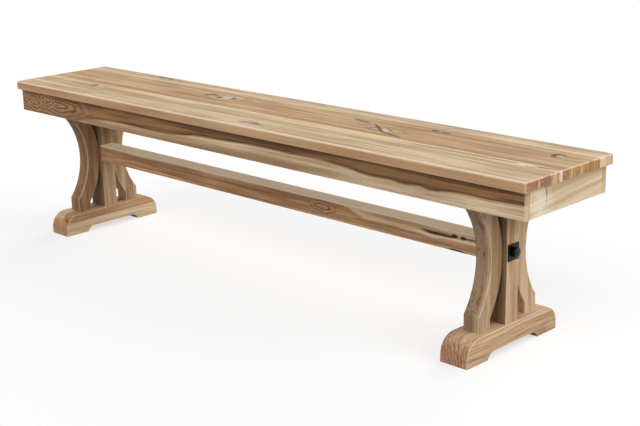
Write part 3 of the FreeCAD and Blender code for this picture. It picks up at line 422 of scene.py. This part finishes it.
# Its top is pale: partly its pale outer wood, partly painted light that stands in for the light reaching it
# under the seat. The paler line along the front arris is a painted highlight. The stains are longer than the
# beam, so that they run from end to end.
END_TO_END = 6000
stain(stretcher, "#ffebcc", (0, 0, 264), (END_TO_END, 300, 16), strength=0.9, softness=0.4)
stain(stretcher, "#fff1d8", (0, STRETCHER_FACE, 260), (END_TO_END, 8, 9), strength=0.7, softness=0.6)
dress(stretcher, "stretcher")

# Iron ties: on the outside of each post a square plate, a round washer and a bolt with a crowned hexagon
# head, which draws the post to a barrel nut in the stretcher. Forged iron in black lacquer; the nut is of
# zinc-plated steel.
IRON_GRIT = 1.5
IRON_PATCH = 12
IRON_GRIT_DEPTH = 0.2
IRON_BLACK = "#020202"
IRON_WORN = "#0c0c0d"
IRON_GLOSSY, IRON_DULL = 0.12, 0.30
IRON_PIECES = {
    # material: how strongly its lacquer reflects, and the pieces. A spanner rubs the bolts' heads bright.
    "black_lacquered_iron": (0.2, ("tie_plate", "tie_washer")),
    "black_lacquered_iron_bolt": (0.4, ("tie_bolt",)),
}
# Lacquered iron gives the eye near-black with cloudy gloss and a fine grit from the forge
for name, (reflection, pieces) in IRON_PIECES.items():
    iron = bpy.data.materials.new(name)
    iron.use_nodes = True
    tree = iron.node_tree
    shader = tree.nodes["Principled BSDF"]
    shader.inputs["Specular IOR Level"].default_value = reflection
    where = add(tree, "ShaderNodeTexCoord").node.outputs["Object"]
    patch = add(tree, "ShaderNodeTexNoise", {"Vector": where, "Scale": METRE / IRON_PATCH, "Detail": 3.0})
    grit = add(tree, "ShaderNodeTexNoise", {"Vector": where, "Scale": METRE / IRON_GRIT, "Detail": 1.0})
    worn = add(tree, "ShaderNodeMix", {"Factor": patch, "A": linear(IRON_BLACK), "B": linear(IRON_WORN)},
               data_type="RGBA")
    tree.links.new(worn, shader.inputs["Base Color"])
    gloss = add(tree, "ShaderNodeMapRange", {"Value": patch, "From Min": 0.3, "From Max": 0.7,
                                             "To Min": IRON_GLOSSY, "To Max": IRON_DULL})
    tree.links.new(gloss, shader.inputs["Roughness"])
    relief = add(tree, "ShaderNodeBump",
                 {"Strength": 0.3, "Distance": IRON_GRIT_DEPTH / METRE, "Height": grit})
    tree.links.new(relief, shader.inputs["Normal"])
    dress(iron, *[node for node in nodes if node.startswith(pieces)])
# Zinc plating gives the eye dull silver with a faint, slightly yellow spangle
ZINC_SPANGLE = 3.0
ZINC_GREY = "#a9aaa8"
ZINC_YELLOW = "#cbc8bd"
ZINC_BRIGHT, ZINC_DULL = 0.22, 0.45
zinc = bpy.data.materials.new("zinc_plated_steel")
zinc.use_nodes = True
tree = zinc.node_tree
shader = tree.nodes["Principled BSDF"]
shader.inputs["Metallic"].default_value = 1.0
where = add(tree, "ShaderNodeTexCoord").node.outputs["Object"]
spangle = add(tree, "ShaderNodeTexNoise", {"Vector": where, "Scale": METRE / ZINC_SPANGLE, "Detail": 2.0})
plating = add(tree, "ShaderNodeMix", {"Factor": spangle, "A": linear(ZINC_GREY), "B": linear(ZINC_YELLOW)},
              data_type="RGBA")
tree.links.new(plating, shader.inputs["Base Color"])
gloss = add(tree, "ShaderNodeMapRange", {"Value": spangle, "To Min": ZINC_BRIGHT, "To Max": ZINC_DULL})
tree.links.new(gloss, shader.inputs["Roughness"])
dress(zinc, "barrel_nut_left", "barrel_nut_right")

# Long aprons: two hickory boards on edge that carry the seat, dowelled up into it. The front one shows the
# log's dark heart above a waving line, pale outer wood below, and a burl at its left end.
apron_front = timber("lacquered_hickory_apron_front", "x", (-147, 540),
                     ("#f0dcc2", "#c6a582", "#a57c56", "#5c402b"), ring=6.0, heart_radius=137,
                     shift=5000, drift=6)
APRON_FACE = -155
APRON_HEART = [(-960, 290), (-760, 300), (-670, 362), (-543, 385), (-434, 388.5), (-355, 388), (-254, 387.5),
               (-180, 391.5), (-104, 399.5), (-27, 400.5), (118, 407), (221, 406), (342, 407.5), (389, 404.5),
               (439, 401), (480, 395), (510, 393.5), (567, 395), (609, 392), (655, 395), (687, 391),
               (736, 395.5), (783, 398.5), (846, 397), (882, 398.5), (960, 401)]
wander(apron_front, APRON_HEART, level=403, side=1)
APRON_BURLS = (
    # place along the bench, height and length in mm
    (-760, 402, 460),
    (-880, 398, 240),
    (-812, 412, 170),
    (-925, 412, 120),
)
for x, z, length in APRON_BURLS:
    burl(apron_front, ("#c49a70", "#4f3420"), (x, APRON_FACE, z), (length, 90, 90), ring=9, strength=0.62)
APRON_MARKS = (
    # colour, place along the bench and height, length, depth and width in mm, tilt in degrees, and strength
    ("#a37b56", -560, 372, 620, 60, 50, -1, 0.7),
    ("#9c7450", -250, 372, 1000, 60, 50, -1, 0.7),
    ("#97704c", 140, 376, 900, 60, 44, -1, 0.75),
    # Painted shadow: a dark band along the top, under the seat's overhang
    ("#4a3220", 60, 430, 1000, 40, 46, 0.5, 0.7),
    ("#755c46", 600, 412, 800, 40, 50, 0, 0.3),
)
for colour, x, z, length, depth, width, tilt, strength in APRON_MARKS:
    stain(apron_front, colour, (x, APRON_FACE, z), (length, depth, width), (0, tilt, 0), strength,
          softness=0.8)
apron_back = timber("lacquered_hickory_apron_back", "x", (147, 540), heart_radius=140, shift=6000)
# The sawn right end of each is cream-coloured
for apron, y in ((apron_front, -147), (apron_back, 147)):
    stain(apron, "#dcc0a0", (951.5, y, 400), (20, 300, 900), strength=0.95, softness=0.2)
dress(apron_front, "apron_front")
dress(apron_back, "apron_back")

# End aprons: a short board at each end, fixed to the leaf behind it, so that it draws out like the front of a
# drawer. Pale outer hickory whose grain climbs a little; the right one has a short dark crack.
END_APRON = ("#e6d6bd", "#c8b090", "#c6ad88", "#a78a63")
END_FACE = 942
end_apron = timber("lacquered_hickory_end_apron_right", "y", (-900, 700), END_APRON, ring=8.0, shift=7000,
                   tilt=-4)
stain(end_apron, "#4d3826", (END_FACE, -77, 416), (12, 9, 34), (4, 0, 0), strength=0.95)
stain(end_apron, "#8a6f50", (END_FACE, -77, 399), (8, 4.5, 36), strength=0.7)
stain(end_apron, "#fbf0dc", (END_FACE, -100, 400), (12, 110, 130), strength=0.5, softness=0.9)
dress(end_apron, "end_apron_right")
end_apron = timber("lacquered_hickory_end_apron_left", "y", (900, 700), END_APRON, ring=8.0, shift=8000,
                   tilt=4)
dress(end_apron, "end_apron_left")

# Ledgers, end rails and stop blocks: strips inside the aprons that the leaves run on and stop against. Plain
# hickory, glued and screwed.
plain_along = timber("lacquered_hickory_strip", "x", (300, 200))
dress(plain_along, "ledger_front", "ledger_back", *[name for name in nodes if name.startswith("stop_block")])
dress(plain_across, "end_rail_left", "end_rail_right")

# Leaves: two hickory boards at each end that lie hidden under the seat, on two bearers and a tail rail that
# hold them together and keep them from tipping.
for end, shift in (("left", 8600), ("right", 9300)):
    for side, pith in (("front", (-260, 430)), ("back", (280, 430))):
        leaf = timber(f"lacquered_hickory_leaf_{end}_{side}", "x", pith, shift=shift)
        dress(leaf, f"leaf_board_{end}_{side}")
        dress(plain_along, f"leaf_bearer_{end}_{side}")
    dress(plain_across, f"leaf_tail_rail_{end}")

# Seat: four hickory boards of different widths, glued edge to edge, planed flat, rounded over at the rim and
# lacquered. The knots and mineral streaks of the log are left in.
SEAT_BOARDS = {
    # name: colours, where the pith lies, shift along the log, and the tint of the sawn end
    "seat_board_front": (("#d9c4a8", "#ab8f72", "#ad9071", "#8f7050"), (160, 446), 9000, "#dcc2b2"),
    "seat_board_inner": (("#d6bf9f", "#a68a68", "#a88861", "#8f7050"), (-320, 438), 10000, "#f4dcc6"),
    "seat_board_heart": (("#c6a985", "#9d7e5b", "#a2845f", "#8f7050"), (-260, 436), 11000, "#fdf0e2"),
    "seat_board_back": (("#d9c6a9", "#a98f74", "#b49a78", "#8f7050"), (400, 440), 12000, "#fff6ea"),
}
SEAT_TOP = 457
MARK_DEPTH = 16
SEAT_MARKS = {
    # board: colour, place (x, y) and size (along, across) in mm, turn in degrees, strength and softness
    "seat_board_front": (
        ("#b3a188", 76, -124, 150, 50, 0, 0.5, 0.9), ("#6e5d46", 53, -132, 50, 14, 10, 0.8, 0.5),
        ("#5f4e3a", 94, -129, 70, 13, 2, 0.85, 0.5), ("#7d6b53", 66, -115, 40, 10, -12, 0.7, 0.5),
        ("#6e5d46", 92, -124, 46, 10, -31, 0.8, 0.5),
    ),
    "seat_board_inner": (
        ("#a68b68", -680, -58, 130, 36, 0, 0.5, 0.9), ("#4e3a28", -695, -55, 28, 18, 0, 0.9, 0.5),
        ("#6e573e", -690, -72, 40, 14, 0, 0.75, 0.5), ("#dcc7a6", -660, -66, 50, 16, 0, 0.6, 0.6),
        ("#5f4a34", 921, -39, 80, 14, 13, 0.8, 0.5), ("#ecdcbf", 866, -46, 70, 16, -4, 0.7, 0.5),
        ("#84694b", 882, -53, 40, 12, 0, 0.6, 0.5), ("#ead9bb", 230, -35, 2400, 14, 0, 0.6, 0.6),
    ),
    "seat_board_heart": (
        ("#a57c4f", 300, -16, 1600, 44, 0, 0.4, 0.9),
        ("#54402c", -307, 51, 28, 20, 0, 0.9, 0.5), ("#54402c", -297, 68, 44, 18, 0, 0.9, 0.5),
        ("#5b4430", -248, 50, 34, 20, 0, 0.85, 0.5), ("#4d3a28", -206, 60, 30, 22, 0, 0.9, 0.5),
        ("#c6b8b2", -227, 57, 42, 34, 0, 0.95, 0.4), ("#94714a", -171, 91, 22, 40, 0, 0.6, 0.5),
        ("#96744f", 280, 68, 140, 36, -12, 0.5, 0.9), ("#4a3724", 280, 68, 88, 10, -12, 0.9, 0.5),
        ("#4a3828", 362, 36, 100, 10, -35, 0.9, 0.5), ("#55402c", 398, 8, 84, 9, -30, 0.85, 0.5),
        ("#5c4632", 400, 34, 60, 8, -28, 0.8, 0.5), ("#46331f", 444, -6, 86, 11, -11, 0.9, 0.5),
        ("#cdc0b2", 398, 23, 50, 18, -32, 0.8, 0.5),
        ("#4d3a26", 497, 95, 36, 17, 0, 0.9, 0.5), ("#574230", 532, 92, 40, 15, 0, 0.85, 0.5),
        ("#4a3626", 872, 69, 46, 38, 0, 0.9, 0.3), ("#c3a47c", 881, 66, 30, 22, 0, 0.95, 0.4),
        ("#7a6140", 908, 71, 70, 14, 6, 0.6, 0.6),
    ),
    "seat_board_back": (
        ("#6f5a42", -631, 150, 60, 18, 0, 0.8, 0.5), ("#6f5a42", -590, 150, 50, 18, 0, 0.8, 0.5),
        ("#8a7052", -528, 146, 110, 14, 0, 0.7, 0.6), ("#9a8260", -161, 147, 80, 14, 0, 0.6, 0.7),
    ),
}
CURL_DEPTH = 40
SEAT_CURLS = {
    # board: place (x, y) and size (along, across) in mm of the curled grain round a knot
    "seat_board_front": ((80, -125, 190, 60),),
    "seat_board_inner": ((-685, -56, 150, 60),),
    "seat_board_heart": ((-225, 62, 250, 110), (395, 20, 220, 110)),
    "seat_board_back": ((-600, 148, 170, 60),),
}
SEAT_END = 956
SEAT_MIDDLE = 444
SEAT_ENDS = {
    # board: colour, place across the bench and width in mm of stripes on the sawn end
    "seat_board_front": (("#a27660", -86, 18), ("#d3ae90", -120, 10)),
    "seat_board_inner": (("#d9b497", -63, 26), ("#fbe6c6", -40, 15)),
    "seat_board_heart": (("#dcae7c", 0, 12), ("#e0b482", 40, 14), ("#9f754c", 75, 24)),
    "seat_board_back": (("#f6d2a6", 122, 40), ("#e6c09a", 148, 26)),
}
for name, (colours, pith, shift, ends) in SEAT_BOARDS.items():
    board = timber(f"lacquered_hickory_{name}", "x", pith, colours, ring=9.0, shift=shift, ends=ends)
    for x, y, along, across in SEAT_CURLS[name]:
        burl(board, (colours[0], "#7f6040"), (x, y, SEAT_TOP), (along, across, CURL_DEPTH), ring=9,
             strength=0.6)
    for colour, x, y, along, across, turn, strength, softness in SEAT_MARKS[name]:
        stain(board, colour, (x, y, SEAT_TOP), (along, across, MARK_DEPTH), (0, 0, turn), strength, softness)
    for colour, y, across in SEAT_ENDS[name]:
        stain(board, colour, (SEAT_END, y, SEAT_MIDDLE), (16, across, 200), strength=0.75)
    if name == "seat_board_front":
        # Painted light: the edge that faces the front is tinted browner and warmer than the top, the colour
        # of warm light falling on it from the front
        stain(board, "#cd9868", (0, -168, SEAT_MIDDLE), (END_TO_END, 10, 200), strength=0.5, softness=0.3)
        # Painted highlight: the rounded arris above it is paler, as where it catches the light
        stain(board, "#f4dfc4", (0, -167, SEAT_TOP), (END_TO_END, 13, 10), strength=0.8, softness=0.6)
    dress(board, name)

# Cleats and seat dowels: three plain hickory battens, screwed across under the seat boards to keep them flat,
# and turned birch dowels that hold the seat to the tops of the aprons.
dress(plain_across, "seat_cleat_left", "seat_cleat_middle", "seat_cleat_right")
dress(dowel_birch, "seat_dowels")

# Screws: countersunk wood screws of zinc-plated steel, all driven from below or from inside. They hold heads,
# end rails and stop blocks to the ledgers, cleats to the seat, and bearers to the leaves.
dress(zinc, *[name for name in nodes if "screws" in name])

# Floor: a sheet of white seamless paper far wider than the picture. It gives the eye an even, matte
# near-white, and still takes the bench's soft shadow.
PAPER_WIDTH = 60
PAPER_ALBEDO = 0.40
PAPER_LIFT = 0.62
bpy.ops.object.select_all(action="DESELECT")
bpy.ops.mesh.primitive_plane_add(size=PAPER_WIDTH, location=(0, 0, 0))
floor = bpy.context.object
floor.name = "floor"
paper = bpy.data.materials.new("white_seamless_paper")
paper.use_nodes = True
tree = paper.node_tree
tree.nodes.remove(tree.nodes["Principled BSDF"])
matte = add(tree, "ShaderNodeBsdfDiffuse", {"Color": (PAPER_ALBEDO, PAPER_ALBEDO, PAPER_ALBEDO, 1)})


def looked_at(tree):
    """1 where the camera looks, straight or by way of metal or glass, and 0 for light that only bounces."""
    path = add(tree, "ShaderNodeLightPath").node.outputs
    seen = add(tree, "ShaderNodeMath", {0: path["Is Camera Ray"], 1: path["Is Glossy Ray"]}, operation="ADD")
    return add(tree, "ShaderNodeMath", {0: seen, 1: path["Is Transmission Ray"]}, operation="ADD",
               use_clamp=True)


lift = add(tree, "ShaderNodeMath", {0: looked_at(tree), 1: PAPER_LIFT}, operation="MULTIPLY")
glow = add(tree, "ShaderNodeEmission", {"Color": (1, 1, 1, 1), "Strength": lift})
both = add(tree, "ShaderNodeAddShader", {0: matte, 1: glow})
tree.links.new(both, tree.nodes["Material Output"].inputs["Surface"])
floor.data.materials.append(paper)

# Light: a pale, even room with four broad, soft lamps: a key from the right and behind, one that faces the
# right end, a fill from the front, and a low glow from the backdrop behind.
ROOM = 0.36
world = bpy.data.worlds.new("soft_studio")
bpy.context.scene.world = world
world.use_nodes = True
tree = world.node_tree
level = add(tree, "ShaderNodeMapRange", {"Value": looked_at(tree), "To Min": ROOM, "To Max": 1.0})
tree.links.new(level, tree.nodes["Background"].inputs["Strength"])
tree.nodes["Background"].inputs["Color"].default_value = (1, 1, 1, 1)
LAMP_BREADTH = 40
LAMPS = {
    # name: the way to the lamp, and its share of full light
    "key_softbox": ((0.74, 0.40, 0.54), 0.33),
    "end_softbox": ((0.95, -0.10, 0.30), 0.23),
    "front_fill": ((0.15, -0.75, 0.64), 0.36),
    "backdrop_glow": ((-0.10, 0.94, 0.32), 0.50),
}
for name, (way, share) in LAMPS.items():
    bpy.ops.object.light_add(type="SUN")
    lamp = bpy.context.object
    lamp.name = name
    lamp.data.energy = share * math.pi
    lamp.data.angle = math.radians(LAMP_BREADTH)
    lamp.rotation_mode = "QUATERNION"
    lamp.rotation_quaternion = Vector(way).to_track_quat("Z", "Y")

# Camera: in front of the bench's right end and about 1.1 m up, where it sees the top, the front and the right
# end. Its place, turn and focal length were fitted to the corners of the bench in the photograph.
PHOTO_WIDTH = 640
FOCAL_PIXELS = 1266.93
SENSOR_WIDTH = 36.0
YAW, PITCH, ROLL = 0.78237, -0.28373, -0.02337
bpy.ops.object.camera_add(location=(2.427412, -2.255149, 1.137586))
camera = bpy.context.object
camera.data.sensor_width = SENSOR_WIDTH
camera.data.lens = FOCAL_PIXELS * SENSOR_WIDTH / PHOTO_WIDTH
forward = Vector((-math.sin(YAW) * math.cos(PITCH), math.cos(YAW) * math.cos(PITCH), math.sin(PITCH)))
level_right = forward.cross(Vector((0, 0, 1))).normalized()
level_up = level_right.cross(forward)
right = math.cos(ROLL) * level_right + math.sin(ROLL) * level_up
up = math.cos(ROLL) * level_up - math.sin(ROLL) * level_right
camera.rotation_mode = "QUATERNION"
camera.rotation_quaternion = Matrix((right, up, -forward)).transposed().to_quaternion()
bpy.context.scene.camera = camera
bpy.context.scene.view_settings.view_transform = "Standard"
